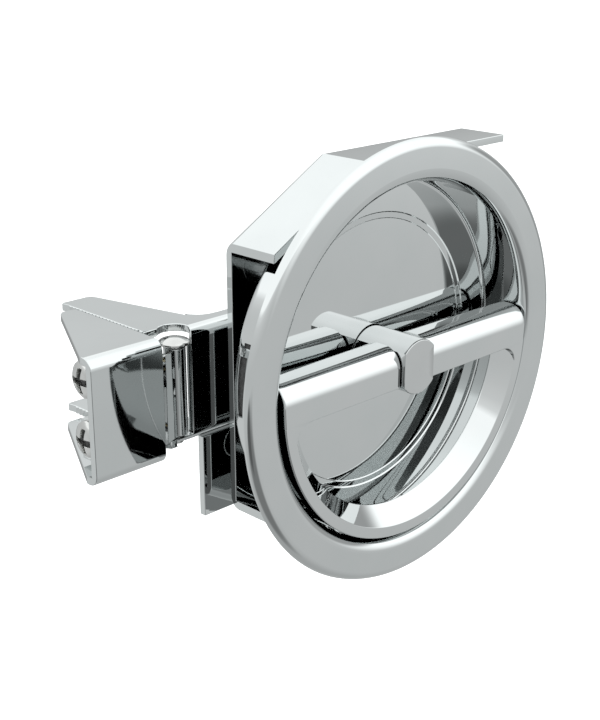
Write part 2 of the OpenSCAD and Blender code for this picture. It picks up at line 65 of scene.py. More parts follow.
# %% Camera
photo_height = 720
focal_pixels = 1307.0
azimuth, elevation, roll = math.radians(-44.50), math.radians(19.44), math.radians(-0.09)
camera_place = Vector((-184.84, -157.21, 86.15)) * mm

across, rise = math.cos(elevation), math.sin(elevation)
back = Vector((math.sin(azimuth) * across, -math.cos(azimuth) * across, rise))
right = Vector((0, 0, 1)).cross(back).normalized()
up = back.cross(right)
right, up = math.cos(roll) * right + math.sin(roll) * up, math.cos(roll) * up - math.sin(roll) * right

camera_data = bpy.data.cameras.new("studio_camera")
camera_data.sensor_width = 36.0
camera_data.lens = focal_pixels / photo_height * camera_data.sensor_width
camera_data.clip_start, camera_data.clip_end = 0.005, 20.0
camera = bpy.data.objects.new("studio_camera", camera_data)
camera.matrix_world = Matrix((right, up, back)).transposed().to_4x4()
camera.location = camera_place
scene.collection.objects.link(camera)
scene.camera = camera
print("lens:", round(camera_data.lens, 2), "mm")

# %% [markdown]
# The room is a soft studio. Seen directly it is white, but a mirror in a plain white room shows nothing at all, so
# what the chrome sees is graded: white from about 27 degrees up, mid grey at the horizon and darker straight below.
# Soft patches lie over that grading. The broad light one whitens the rounds along the top edges, the dark one below
# the lens shows in the rounds that face the camera, and the pale one shows on the sides that face left.
# Such a room could also be built from lamps and cards. As a function of direction alone it needs no objects, and it
# can be tuned face by face: a flat face that shows one grey in the photograph stands for one direction. The values
# below were found that way, by comparing renders with the photograph.

# %% Room values
room_tint = (0.975, 1.0, 1.0)
room_strength = 1.22
# Sine of the height above the horizon, and the grey there
room_by_height = [(-1.00, 0.40), (-0.70, 0.49), (-0.33, 0.55), (-0.18, 0.55), (0.00, 0.55),
                  (0.20, 0.60), (0.33, 0.66), (0.41, 0.78), (0.46, 1.14), (1.00, 1.14)]
# Direction of each patch, the cosines at which it is full and gone, and its grey
room_patches = [
    ((0.55, -0.55, 0.63), 0.93, 0.56, 1.30),    # in front on the right and above, broad and light
    ((-0.67, 0.66, -0.33), 0.90, 0.70, 0.62),   # behind on the left and low, pale
    ((-0.35, -0.60, -0.72), 0.95, 0.80, 0.20),  # in front and low, dark
    ((-0.62, -0.62, -0.46), 0.99, 0.955, 0.11),  # below the lens, small and almost black
    ((0.66, 0.67, -0.33), 0.93, 0.82, 0.28),    # behind on the right and low, dark
    ((0.95, -0.10, -0.02), 0.97, 0.90, 0.36),   # on the right at the horizon, small and dark
]
print("steps of height:", len(room_by_height), "patches:", len(room_patches))

# %% [markdown]
# One helper makes every shader node in this lesson. An input by name or by number is linked when it gets a socket
# and set when it gets a value, so a whole tree reads from top to bottom like a sum.

# %% Nodes and patches


def shader_node(tree, kind, settings=(), **inputs):
    """A shader node. Settings are its properties; an input is linked if it gets a socket, and set otherwise."""
    made = tree.nodes.new(kind)
    for name, value in dict(settings).items():
        setattr(made, name, value)
    for name, value in inputs.items():
        by_number = name[0] == "i" and name[1:].isdigit()
        socket = made.inputs[int(name[1:]) if by_number else name.replace("_", " ")]
        if isinstance(value, bpy.types.NodeSocket):
            tree.links.new(value, socket)
        else:
            socket.default_value = value
    return made


def tinted(grey):
    """A grey of the room with the room's tint, as a colour."""
    return (*(grey * part for part in room_tint), 1)


def soft_patch(tree, direction, towards, full, gone):
    """A round patch of the room: 1 where the cosine to a direction is above full, 0 where it is below gone."""
    dot = shader_node(tree, "ShaderNodeVectorMath", {"operation": "DOT_PRODUCT"}, i0=direction,
                      i1=Vector(towards).normalized())
    fade = shader_node(tree, "ShaderNodeMapRange", {"interpolation_type": "SMOOTHSTEP"},
                       Value=dot.outputs["Value"], From_Min=gone, From_Max=full)
    return fade.outputs["Result"]


print("tinted middle grey:", tinted(0.5))

# %% [markdown]
# The world joins both parts: a ramp over the height, then one patch after another mixed over it. The camera itself
# gets plain white, as in the photograph, and only reflections and light see the graded room.

# %% World


def studio_world():
    """Grey by height, from a ramp over the sine of the elevation, with the soft patches painted over it."""
    world = bpy.data.worlds.new("pale_room")
    world.use_nodes = True
    tree = world.node_tree
    tree.nodes.clear()
    direction = shader_node(tree, "ShaderNodeTexCoord").outputs["Generated"]
    split = shader_node(tree, "ShaderNodeSeparateXYZ", Vector=direction)
    height = shader_node(tree, "ShaderNodeMapRange", Value=split.outputs["Z"], From_Min=-1.0)
    ramp = shader_node(tree, "ShaderNodeValToRGB", Fac=height.outputs["Result"])
    stops = ramp.color_ramp.elements
    while len(stops) < len(room_by_height):
        stops.new(0.5)
    for stop, (sine, grey) in zip(stops, room_by_height):
        stop.position = (sine + 1) / 2
        stop.color = tinted(grey)
    colour = ramp.outputs["Color"]
    for towards, full, gone, grey in room_patches:
        mask = soft_patch(tree, direction, towards, full, gone)
        colour = shader_node(tree, "ShaderNodeMix", {"data_type": "RGBA"}, Factor=mask, i6=colour,
                             i7=tinted(grey)).outputs[2]
    around_it = shader_node(tree, "ShaderNodeBackground", Color=colour, Strength=room_strength)
    seen = shader_node(tree, "ShaderNodeBackground", Color=(1, 1, 1, 1))
    path = shader_node(tree, "ShaderNodeLightPath")
    mix = shader_node(tree, "ShaderNodeMixShader", Fac=path.outputs["Is Camera Ray"],
                      i1=around_it.outputs[0], i2=seen.outputs[0])
    shader_node(tree, "ShaderNodeOutputWorld", Surface=mix.outputs[0])
    scene.world = world
    return world


print("room:", studio_world().name)

# %% [markdown]
# One soft box lights the dull pieces from the upper left in front, and a pale matt floor closes the picture below.
# Both stay out of the reflections, because the graded room already holds what the mirror shows there.

# %% Light and floor
view = scene.view_settings
view.view_transform = "Standard"
view.look = "None"
key_place, key_size, key_power = (-0.5, -0.5, 1.1), 0.9, 9.0
floor_height, floor_half, floor_shade, floor_glow = -0.14, 6.0, 0.80, 0.30


def soft_light(name, place, size, power):
    """A square soft box that faces the latch."""
    data = bpy.data.lights.new(name, "AREA")
    data.shape = "SQUARE"
    data.size = size
    data.energy = power
    light = bpy.data.objects.new(name, data)
    light.location = place
    light.rotation_euler = (-Vector(place)).to_track_quat("-Z", "Y").to_euler()
    light.visible_glossy = False
    scene.collection.objects.link(light)


def pale_floor(height, half, shade, glow):
    """A square floor far below the latch, pale and matt, with a little light of its own."""
    corners = [(-half, -half, height), (half, -half, height), (half, half, height), (-half, half, height)]
    mesh = bpy.data.meshes.new("pale_floor")
    mesh.from_pydata(corners, [], [(0, 1, 2, 3)])
    floor = bpy.data.objects.new("pale_floor", mesh)
    scene.collection.objects.link(floor)
    material = bpy.data.materials.new("pale_floor")
    material.use_nodes = True
    shader = material.node_tree.nodes["Principled BSDF"]
    shader.inputs["Base Color"].default_value = (shade, shade, shade, 1)
    shader.inputs["Roughness"].default_value = 1.0
    shader.inputs["Specular IOR Level"].default_value = 0.0
    shader.inputs["Emission Color"].default_value = (1, 1, 1, 1)
    shader.inputs["Emission Strength"].default_value = glow
    mesh.materials.append(material)
    floor.visible_glossy = False


soft_light("key_light", key_place, key_size, key_power)
pale_floor(floor_height, floor_half, floor_shade, floor_glow)
print("floor:", floor_height, "m below the spindle axis")

# %% [markdown]
# Chrome plate is smooth, but never perfectly even: the roughness wanders a little over a few millimetres, and its
# tone with it. The effect is one node group that every finish uses with its own values. A group puts out numbers
# only, so each material decides for itself what they do.

# %% Polish


def group(name, inputs, outputs):
    """A node group with named number sockets, its way in and its way out."""
    tree = bpy.data.node_groups.new(name, "ShaderNodeTree")
    for label, default in inputs:
        socket = tree.interface.new_socket(label, in_out="INPUT", socket_type="NodeSocketFloat")
        socket.default_value = default
    for label in outputs:
        tree.interface.new_socket(label, in_out="OUTPUT", socket_type="NodeSocketFloat")
    return tree, shader_node(tree, "NodeGroupInput"), shader_node(tree, "NodeGroupOutput")


def polish_group():
    """Cloud is a noise stretched to 0..1, and Roughness runs with it from Low to High."""
    tree, into, out = group("polish", [("Low", 0.02), ("High", 0.05), ("Scale", 60.0)], ["Roughness", "Cloud"])
    place = shader_node(tree, "ShaderNodeTexCoord").outputs["Object"]
    noise = shader_node(tree, "ShaderNodeTexNoise", Vector=place, Scale=into.outputs["Scale"], Detail=4.0)
    cloud = shader_node(tree, "ShaderNodeMapRange", Value=noise.outputs["Fac"], From_Min=0.35, From_Max=0.65)
    rough = shader_node(tree, "ShaderNodeMapRange", Value=cloud.outputs["Result"],
                        To_Min=into.outputs["Low"], To_Max=into.outputs["High"])
    tree.links.new(rough.outputs["Result"], out.inputs["Roughness"])
    tree.links.new(cloud.outputs["Result"], out.inputs["Cloud"])
    return tree


polish = polish_group()
print("polish gives:", [socket.name for socket in polish.interface.items_tree if socket.in_out == "OUTPUT"])

# %% [markdown]
# Turned pieces carry fine rings from the lathe, and drawn pins carry faint lines along their length. Modelled in
# the mesh they would need a great many faces, so both are heights, and the material turns them into a bump.

# %% Tool marks


def lathe_group():
    """Fine rings: the sine of the distance from the spindle axis over the pitch, broken up by a slow noise."""
    tree, into, out = group("lathe_rings", [("Pitch", 0.00015)], ["Height"])
    place = shader_node(tree, "ShaderNodeTexCoord").outputs["Object"]
    flat = shader_node(tree, "ShaderNodeVectorMath", {"operation": "MULTIPLY"}, i0=place, i1=(1.0, 0.0, 1.0))
    far = shader_node(tree, "ShaderNodeVectorMath", {"operation": "LENGTH"}, i0=flat.outputs["Vector"])
    turns = shader_node(tree, "ShaderNodeMath", {"operation": "DIVIDE"}, i0=far.outputs["Value"],
                        i1=into.outputs["Pitch"])
    wave = shader_node(tree, "ShaderNodeMath", {"operation": "SINE"}, i0=turns.outputs[0])
    noise = shader_node(tree, "ShaderNodeTexNoise", Vector=place, Scale=900.0)
    height = shader_node(tree, "ShaderNodeMath", {"operation": "MULTIPLY_ADD"}, i0=wave.outputs[0], i1=0.5,
                         i2=noise.outputs["Fac"])
    tree.links.new(height.outputs[0], out.inputs["Height"])
    return tree


def drawn_group():
    """Faint lines along Z: a noise of places squeezed by Squeeze along Z."""
    tree, into, out = group("drawn_lines", [("Scale", 4000.0), ("Squeeze", 0.02)], ["Height"])
    place = shader_node(tree, "ShaderNodeTexCoord").outputs["Object"]
    thin = shader_node(tree, "ShaderNodeCombineXYZ", X=1.0, Y=1.0, Z=into.outputs["Squeeze"])
    squeezed = shader_node(tree, "ShaderNodeVectorMath", {"operation": "MULTIPLY"}, i0=place, i1=thin.outputs[0])
    noise = shader_node(tree, "ShaderNodeTexNoise", Vector=squeezed.outputs[0], Scale=into.outputs["Scale"],
                        Detail=2.0)
    tree.links.new(noise.outputs["Fac"], out.inputs["Height"])
    return tree


lathe_rings, drawn_lines = lathe_group(), drawn_group()
print("groups:", [made.name for made in bpy.data.node_groups])

# %% [markdown]
# Each material slot of the latch gets one material. Polished plating is a clear metal with almost no roughness.
# Real chrome gives back about two thirds of the light. The photograph shows this where one face of the latch sees
# another: the second and third reflections grow dark quickly. Turned and drawn steel are rougher and get their
# lines as a very shallow bump. Rubber is no metal at all: it is nearly black and dull, and its grain is fine.

# %% Materials
# Slot: light and dark colour, least and most roughness, scale of the cloud, then tool marks and depth in metres
metals = {
    "polished_dish": ((0.66, 0.675, 0.675), (0.64, 0.66, 0.66), 0.012, 0.035, 80.0),
    "polished_ring": ((0.67, 0.68, 0.68), (0.65, 0.67, 0.67), 0.012, 0.035, 90.0),
    "polished_spindle": ((0.66, 0.67, 0.67), (0.64, 0.65, 0.65), 0.015, 0.04, 120.0),
    "polished_sheet": ((0.65, 0.67, 0.67), (0.63, 0.65, 0.65), 0.015, 0.045, 70.0),
    "polished_arm": ((0.65, 0.67, 0.67), (0.63, 0.65, 0.65), 0.015, 0.045, 75.0),
    "polished_jaw": ((0.65, 0.67, 0.67), (0.63, 0.65, 0.65), 0.015, 0.045, 85.0),
    "polished_screws": ((0.66, 0.66, 0.65), (0.60, 0.60, 0.59), 0.03, 0.08, 400.0),
    "steel_pin": ((0.62, 0.62, 0.61), (0.55, 0.55, 0.54), 0.06, 0.14, 300.0, drawn_lines, 4e-6),
    "turned_steel": ((0.57, 0.58, 0.58), (0.50, 0.51, 0.51), 0.14, 0.24, 250.0, lathe_rings, 5e-6),
    "spring_steel": ((0.36, 0.36, 0.38), (0.22, 0.22, 0.25), 0.25, 0.42, 500.0, drawn_lines, 1e-5),
    "turned_brass": ((0.64, 0.52, 0.29), (0.55, 0.42, 0.21), 0.16, 0.28, 250.0, lathe_rings, 5e-6),
    "black_rubber": ((0.045, 0.045, 0.045), (0.025, 0.025, 0.025), 0.55, 0.75, 900.0),
}


def metal(slot, light, dark, low, high, scale, lines=None, depth=0.0):
    """A metal whose colour runs from light to dark with the cloud, with lines as a bump of the given depth."""
    material = bpy.data.materials.new(slot)
    material.use_nodes = True
    tree = material.node_tree
    shader = tree.nodes["Principled BSDF"]
    shader.inputs["Metallic"].default_value = 1.0
    finish = shader_node(tree, "ShaderNodeGroup", {"node_tree": polish}, Low=low, High=high, Scale=scale)
    colour = shader_node(tree, "ShaderNodeMix", {"data_type": "RGBA"}, Factor=finish.outputs["Cloud"],
                         i6=(*light, 1), i7=(*dark, 1))
    tree.links.new(colour.outputs[2], shader.inputs["Base Color"])
    tree.links.new(finish.outputs["Roughness"], shader.inputs["Roughness"])
    if lines:
        pattern = shader_node(tree, "ShaderNodeGroup", {"node_tree": lines})
        bump = shader_node(tree, "ShaderNodeBump", Strength=1.0, Distance=depth,
                           Height=pattern.outputs["Height"])
        tree.links.new(bump.outputs["Normal"], shader.inputs["Normal"])
    return material


finishes = {slot: metal(slot, *values) for slot, values in metals.items()}
finishes["black_rubber"].node_tree.nodes["Principled BSDF"].inputs["Metallic"].default_value = 0.0
for name, node in frame["nodes"].items():
    node.data.materials.clear()
    node.data.materials.append(finishes[slot_of[name]])
print("finishes:", len(finishes))

# %% [markdown]
# Most new pieces start as a flat section. A corner of a section is never left sharp where light falls on it: a
# small arc takes its place, because a polished edge is always a little round. The arc of a fillet runs between
# its two points of contact at an even rate of turning, which keeps the facets equal.

# %% Sections


def arc(centre, radius, start, end, count=12):
    """centre + radius (cos a, sin a), with the angle a from start to end in degrees."""
    a = np.radians(np.linspace(start, end, count))
    return np.column_stack([centre[0] + radius * np.cos(a), centre[1] + radius * np.sin(a)])


def fillet(before, corner, after, radius, count=5):
    """The arc that rounds a corner: its centre is on the bisector, at radius / sin(half the angle) from it."""
    before, corner, after = (np.asarray(point, float) for point in (before, corner, after))
    one = (before - corner) / np.linalg.norm(before - corner)
    two = (after - corner) / np.linalg.norm(after - corner)
    half = np.arccos(one @ two) / 2
    centre = corner + (one + two) / np.linalg.norm(one + two) * radius / np.sin(half)
    start, end = (corner + side * radius / np.tan(half) - centre for side in (one, two))
    turn = np.pi - 2 * half
    t = np.linspace(0, 1, count)[:, None]
    return centre + (np.sin((1 - t) * turn) * start + np.sin(t * turn) * end) / np.sin(turn)


def rounded_loop(corners):
    """A closed loop through corners (x, y, radius, points), each rounded by its own radius."""
    after = corners[1:] + corners[:1]
    before = corners[-1:] + corners[:-1]
    return np.vstack([fillet(a[:2], b[:2], c[:2], b[2], b[3]) for a, b, c in zip(before, corners, after)])


print("a rounded right angle starts at", np.round(fillet((0, 0), (1, 0), (1, 1), 0.2)[0], 3))

# %% [markdown]
# A section becomes a surface in one of two ways: carried round an axis, as on a lathe, or carried along a path, as
# in a rolling mill. Either way the whole surface is one grid of points, and numpy makes it without any loop over
# vertices. What differs is only how the grid is closed.

# %% Surfaces


def around(profile, angles):
    """A profile of (radius, height) carried round the Z axis: (r cos a, r sin a, h), a grid of angles by points."""
    a = np.asarray(angles)[:, None]
    radius, height = profile[:, 0][None], profile[:, 1][None]
    return np.stack([radius * np.cos(a), radius * np.sin(a), height + 0 * a], -1)


def grid_quads(rows, columns, close_rows=False, close_columns=False):
    """Quads between the neighbours of a grid of points that are numbered row by row."""
    i = np.arange(rows if close_rows else rows - 1)[:, None]
    j = np.arange(columns if close_columns else columns - 1)[None]
    below, beside = (i + 1) % rows, (j + 1) % columns
    return np.stack([i * columns + j, i * columns + beside, below * columns + beside, below * columns + j], -1)


def turned(grid):
    """Closes a grid of angles by points: quads round the axis, and a fan to the mean of each end ring."""
    rows, columns = grid.shape[:2]
    ring = np.arange(rows) * columns
    after = np.roll(ring, -1)
    poles = np.stack([grid[:, 0].mean(0), grid[:, -1].mean(0)])
    fans = [np.column_stack([after + shift, ring + shift, np.full(rows, rows * columns + k)])
            for k, shift in enumerate((0, columns - 1))]
    sides = grid_quads(rows, columns, close_rows=True).reshape(-1, 4)
    return np.vstack([grid.reshape(-1, 3), poles]), [sides, *fans]


def revolved(section, angles):
    """A closed section carried all the way round the Z axis."""
    grid = around(section, angles)
    rows, columns = grid.shape[:2]
    quads = grid_quads(rows, columns, close_rows=True, close_columns=True)
    return grid.reshape(-1, 3), [quads.reshape(-1, 4)]


def lofted(grid):
    """Closes a grid of stations by section points: quads along it and one flat face over each end."""
    rows, columns = grid.shape[:2]
    sides = grid_quads(rows, columns, close_columns=True).reshape(-1, 4)
    ends = np.stack([np.arange(columns), (rows - 1) * columns + np.arange(columns)])
    return grid.reshape(-1, 3), [sides, ends]


def joined(*shapes):
    """Several closed shapes as one list of points and faces, each shape's numbers moved past those before it."""
    points, faces, shift = [], [], 0
    for some_points, some_faces in shapes:
        points.append(some_points)
        faces.extend(part + shift for part in some_faces)
        shift += len(some_points)
    return np.vstack(points), faces


print("quads of a closed 4 by 3 grid:", grid_quads(4, 3, close_rows=True, close_columns=True).reshape(-1, 4).shape[0])

# %% [markdown]
# A shape becomes a piece of the latch in the same steps every time: its points go into a mesh, its faces are turned
# outwards, shading is smooth except across real edges, and the normals follow the large flat faces, so that thin
# roundings cannot bend a reflection. Then the piece rides on its body and takes the place of its solid. The count
# of open edges is printed, and it has to be 0.

# %% Pieces
smooth_up_to = math.radians(32)


def finish_piece(piece, node):
    """Smooth shading that breaks at sharp edges, normals that follow the flats, and the piece's body and slot."""
    piece.data.polygons.foreach_set("use_smooth", np.ones(len(piece.data.polygons), bool))
    piece.data.set_sharp_from_angle(angle=smooth_up_to)
    flats = piece.modifiers.new("true_flats", "WEIGHTED_NORMAL")
    flats.mode = "FACE_AREA"
    flats.keep_sharp = True
    if node:
        piece.data.materials.append(finishes[slot_of[node]])
        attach(piece, body_of[node])
        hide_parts(node)


def add_piece(name, node, shape):
    """Puts a shape in millimetres into a mesh, turns the faces outwards, and stands it in for a node."""
    points, faces = shape
    mesh = bpy.data.meshes.new(name)
    rows = [face for part in faces for face in part.tolist()]
    mesh.from_pydata((points * mm).tolist(), [], rows)
    outside = bmesh.new()
    outside.from_mesh(mesh)
    bmesh.ops.recalc_face_normals(outside, faces=outside.faces)
    print(name, "faces:", len(outside.faces), "open edges:", sum(not edge.is_manifold for edge in outside.edges))
    outside.to_mesh(mesh)
    outside.free()
    piece = bpy.data.objects.new(name, mesh)
    scene.collection.objects.link(piece)
    finish_piece(piece, node)
    return piece


def add_extra(name, node, shape, slot=None):
    """A piece that stands beside a node: it rides on the node's body, with its finish or another slot's."""
    piece = add_piece(name, None, shape)
    slot = slot or slot_of[node]
    piece.data.materials.append(finishes[slot])
    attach(piece, body_of[node])


print("edges up to", round(math.degrees(smooth_up_to)), "degrees are shaded smooth")

# %% [markdown]
# Flange, rolled lip and dish are one part. On the real latch a disc of sheet is spun over a form, or a casting is
# turned. Its section goes once round: over the lip, down the wall, round the foot, across the floor with its two
# fine steps, back along the outside, and round the rim. A loft through circles would make the same shape, but a
# section keeps every radius in one place.

# %% Section of the dish
flange_face, flange_r, flange_edge, seat_corner = -1.5, 44.428, 1.9, 0.25
mouth_r, lip_width, lip_r, mouth_run = 36.7, 1.9, 2.8, 1.6
dish_r, dish_out_r, foot_r, floor_depth = 35.9, 36.7, 0.8, 10.1
step_r, first_step, step_band, second_step, step_round = 28.6, 0.24, 1.06, 0.16, 0.1
dish_back, dish_corner, spindle_hole = 11.7, 1.6, 5.75
# Each opening: lowest and highest place, front and rear depth
dish_openings = [(-3.4, 8.0, 8.0, 9.8), (9.6, 10.5, 7.5, 9.3)]


def floor_steps():
    """Corners (radius, depth) across the floor: two small slopes of 45 degrees with a flat band between them."""
    ledge = floor_depth + first_step
    deep = ledge + second_step
    band = step_r - first_step, step_r - first_step - step_band
    return [(dish_r, floor_depth), (step_r, floor_depth), (band[0], ledge), (band[1], ledge),
            (band[1] - second_step, deep), (spindle_hole, deep), (spindle_hole, dish_back)]


def dish_section():
    """Closed section as (radius, depth), with a point on both skins at each edge of the openings."""
    lip_end = 180 + math.degrees(math.acos(lip_width / lip_r))
    lip_depth = flange_face + lip_r - math.sqrt(lip_r ** 2 - lip_width ** 2)
    (_, _, window_front, window_rear), (_, _, slot_front, slot_rear) = dish_openings
    cut = math.degrees(math.asin((window_rear - floor_depth + foot_r) / foot_r))
    foot = (dish_r - foot_r, floor_depth - foot_r)
    rim = (flange_r - flange_edge, flange_face + flange_edge)
    rim_start = -math.degrees(math.asin(rim[1] / flange_edge))
    steps = floor_steps()
    return np.vstack([
        arc((mouth_r + lip_width, flange_face + lip_r), lip_r, 270, lip_end, 14),
        [[dish_r, lip_depth + mouth_run], [dish_r, slot_front], [dish_r, window_front]],
        arc(foot, foot_r, 0, cut, 5), arc(foot, foot_r, cut, 90, 7)[1:],
        *(fillet(*corners, step_round) for corners in zip(steps, steps[1:], steps[2:])),
        [[spindle_hole, dish_back]],
        arc((dish_out_r - dish_corner, dish_back - dish_corner), dish_corner, 90, 0, 8),
        [[dish_out_r, depth] for depth in (window_rear, slot_rear, window_front, slot_front)],
        fillet((dish_out_r, dish_back), (dish_out_r, 0), (flange_r, 0), seat_corner),
        arc(rim, flange_edge, rim_start, -90, 16)])


print("points in the section:", len(dish_section()))

# %% [markdown]
# The left wall of the dish has a window and a narrow slot, cut through it with a small mill. Cutting a mesh with
# another mesh leaves long thin triangles that spoil a mirror. Here the grid has lines exactly at the edges of the
# openings instead, so the cells inside them are left out, and short walls join the inner skin to the outer one.
# The shade behind each opening is painted: a thin dark plate with the rubber finish closes each opening between the two
# skins.

# %% Flange and dish
shade_plate_radii = dish_r + 0.05, dish_r + 0.35


def left_angle(height):
    """Angle round the axis of a place on the left outer wall: pi - asin(height / radius)."""
    return math.pi - math.asin(height / dish_out_r)


def flange_and_dish():
    """The section round the spindle axis, less the cells of the openings, plus walls between the two skins."""
    section = dish_section()
    edges = [left_angle(height) for opening in dish_openings for height in opening[:2]]
    angles = np.unique(np.round(np.concatenate([np.radians(np.arange(360)), edges]), 6))
    grid = around(section, angles)[..., [0, 2, 1]]
    rows, columns = grid.shape[:2]
    cells = grid_quads(rows, columns, close_rows=True, close_columns=True)
    keep = np.ones(cells.shape[:2], bool)
    walls = []

    def column(radius, depth):
        """The point of the section that lies nearest to (radius, depth)."""
        return int(np.argmin(np.hypot(section[:, 0] - radius, section[:, 1] - depth)))

    for low, high, front, rear in dish_openings:
        foot_side = dish_r - foot_r + math.sqrt(foot_r ** 2 - max(rear - floor_depth + foot_r, 0) ** 2)
        inner = column(dish_r, front), column(foot_side, rear)
        outer = column(dish_out_r, front), column(dish_out_r, rear)
        start, stop = (int(np.argmin(np.abs(angles - left_angle(height)))) for height in (high, low))
        turn = np.arange(start, stop)
        keep[start:stop, inner[0]:inner[1]] = False
        keep[start:stop, outer[1]:outer[0]] = False
        for inside, outside in zip(inner, outer):
            corners = [turn * columns + inside, (turn + 1) * columns + inside]
            walls.append(np.column_stack(corners + [corner - inside + outside for corner in corners[::-1]]))
        loop = np.concatenate([np.arange(inner[0], inner[1] + 1), np.arange(outer[1], outer[0] + 1)])
        walls.append(np.stack([start * columns + loop, stop * columns + loop]))
    return grid.reshape(-1, 3), [cells[keep].reshape(-1, 4), *walls]


def opening_shade_plates():
    """In each opening a thin dark plate between two radii, swept from its upper to its lower angle: painted shade."""
    painted_plates = []
    for low, high, front, rear in dish_openings:
        near, far = shade_plate_radii
        section = np.array([[near, front], [far, front], [far, rear], [near, rear]])
        sweep = np.linspace(left_angle(high), left_angle(low), 12)
        painted_plates.append(lofted(around(section, sweep)[..., [0, 2, 1]]))
    return joined(*painted_plates)


add_piece("flange_and_dish", "bezel_dish", flange_and_dish())
# A dark plate in each opening paints the shade behind the wall.
add_extra("painted_opening_shade", "bezel_dish", opening_shade_plates(), "black_rubber")

# %% [markdown]
# The pull ring is one forging: a half ring that a finger goes through, below a crossbar that carries the pivot. It
# is built from closed forms that run into each other a little, so no seam opens between them. A single mesh with
# blended joints would be closer to a forging, but its faces would turn in every direction at once, and the flats
# that a mirror needs would be lost.
# The half ring is a section with a wide bevel inside, carried round an arc that ends inside the crossbar.

# %% Half ring
ring_r, ring_front, ring_back, bevel_front_r, bevel_back_r = 35.5, -1.5, 2.8, 33.2, 29.2
edge_roll, hidden, ring_sweep = 0.28, 0.012, (185.5, 354.5)


def half_ring():
    """The ring's section, carried from just under one end of the crossbar round to the other."""
    section = rounded_loop([(bevel_front_r, ring_front + hidden, 0.25, 5), (ring_r, ring_front + hidden, edge_roll, 5),
                            (ring_r, ring_back, 0.2, 4), (bevel_back_r, ring_back, 0.35, 5)])
    return lofted(around(section, np.radians(np.linspace(*ring_sweep, 241)))[..., [0, 2, 1]])


print("points in the half ring:", len(half_ring()[0]))

# %% [markdown]
# The crossbar is split by the spindle's tongue, and each half is a section carried along X. Its top is nearly half
# round, which gives the long white highlight. Its back swells towards the middle on one large circle, and its
# outer end follows the ring's own cylinder. At both ends the section draws in along a quarter circle, and that
# rolls the end's edge.

# %% Crossbar
bar_up, bar_down, bar_back, bar_belly, bar_gap = 4.5, 3.6, 8.4, 1.8, 4.55
bar_round, bar_foot_front, bar_foot_back = 4.05, 0.3, 2.0
roll_count, bar_count = 5, 26


def half_bar(side):
    """Section (depth, height) along X. What lies behind the middle falls with the belly circle, R - sqrt(R^2 - x^2)."""
    section = rounded_loop([(ring_front, -bar_down, bar_foot_front, 5), (ring_front, bar_up, bar_round, 24),
                            (bar_back, bar_up, bar_round, 16), (bar_back, -bar_down, bar_foot_back, 8)])
    roll = np.linspace(0, math.pi / 2, roll_count)
    shift, inset = edge_roll * (1 - np.cos(roll)), edge_roll * (1 - np.sin(roll))
    between = np.linspace(0, 1, bar_count)[1:-1]
    share = np.concatenate([np.zeros(roll_count), between, np.ones(roll_count)])[:, None]
    move = np.concatenate([shift, np.full_like(between, edge_roll), shift[::-1]])[:, None]
    inset = np.concatenate([inset, np.zeros_like(between), inset[::-1]])[:, None]
    middle = np.array([(ring_front + bar_back) / 2, (bar_up - bar_down) / 2])
    depth, height = (section[:, k][None] + (middle[k] - section[:, k])[None] * inset / bar_round for k in (0, 1))
    outer = np.sqrt(ring_r ** 2 - height ** 2)
    x = (bar_gap + move) * (1 - share) + (outer - move) * share
    belly_r = (ring_r ** 2 + bar_belly ** 2) / (2 * bar_belly)
    fall = belly_r - np.sqrt(belly_r ** 2 - x ** 2)
    behind = np.clip((depth - middle[0]) / (bar_back - middle[0]), 0, 1)
    return lofted(np.stack([side * x, depth - fall * behind, height + 0 * x], -1))


print("points in half a crossbar:", len(half_bar(1)[0]))

# %% [markdown]
# In each corner between ring and crossbar the finger opening is rounded. A small web fills the corner: a slab whose
# near edge is the round of the opening and whose far edge lies hidden inside the ring and the bar.

# %% Corner webs and the whole ring
opening_r, web_sides, web_top, web_roll = 3.5, (33.6, 34.2), 0.4, 0.2


def corner_web(side):
    """A slab between the round of the opening's corner and a path inside the ring and the crossbar."""
    centre_x = math.sqrt((bevel_front_r - opening_r) ** 2 - (bar_down + opening_r) ** 2)
    centre = np.array([centre_x, -bar_down - opening_r])
    a = np.linspace(0, 90, 19)
    near = centre + opening_r * np.column_stack([np.cos(np.radians(a)), np.sin(np.radians(a))])
    top = web_top - bar_down
    path = np.array([[web_sides[0], centre[1]], [web_sides[1], top], [centre[0], top]])
    far = np.column_stack([np.interp(a, [0, 45, 90], path[:, k]) for k in (0, 1)])
    reach = np.linalg.norm(far - near, axis=1)[:, None]
    along = (far - near) / reach
    front, rear = ring_front + 2 * hidden, ring_back - hidden
    front_roll = arc((web_roll, front + web_roll), web_roll, 270, 180, 5)
    rear_roll = arc((web_roll, rear - web_roll), web_roll, 180, 90, 5)
    depth = np.concatenate([[front], front_roll[:, 1], rear_roll[:, 1], [rear]])
    step = np.column_stack([reach, np.tile(front_roll[:, 0], (len(a), 1)),
                            np.tile(rear_roll[:, 0], (len(a), 1)), reach])
    place = near[:, None] + along[:, None] * step[..., None]
    return lofted(np.stack([side * place[..., 0], np.broadcast_to(depth, step.shape), place[..., 1]], -1))


ring_forms = [make(side) for side in (-1, 1) for make in (half_bar, corner_web)]
add_piece("folding_ring", "pull_ring", joined(half_ring(), *ring_forms))

# %% [markdown]
# The spindle is turned from one bar and then milled: two flats make its tongue, and four make the square that
# drives the arm. The grid is the turned shape, and milling is a limit on how far it may reach across or up, which
# keeps every flat truly flat.
# A thread is the same grid with its radius made a wave: how far it is along the axis, less one pitch for each
# turn, gives the place in the wave. Eight rings to the pitch are enough to draw the crests.

# %% Spindle
turn_angles = np.radians(np.arange(0, 360, 2.5))
no_limit, thread_steps, thread_share = 99.0, 8, 0.54
tongue_half, square_half, shaft_r, collar_r, groove_r = 4.25, 3.7, 5.55, 7.2, 4.55
square_front, square_back, thread_r, thread_pitch, thread_end_r = 19.15, 22.25, 3.0, 1.0, 2.5
thread_front, thread_back, spindle_end = 22.4, 31.9, 32.45


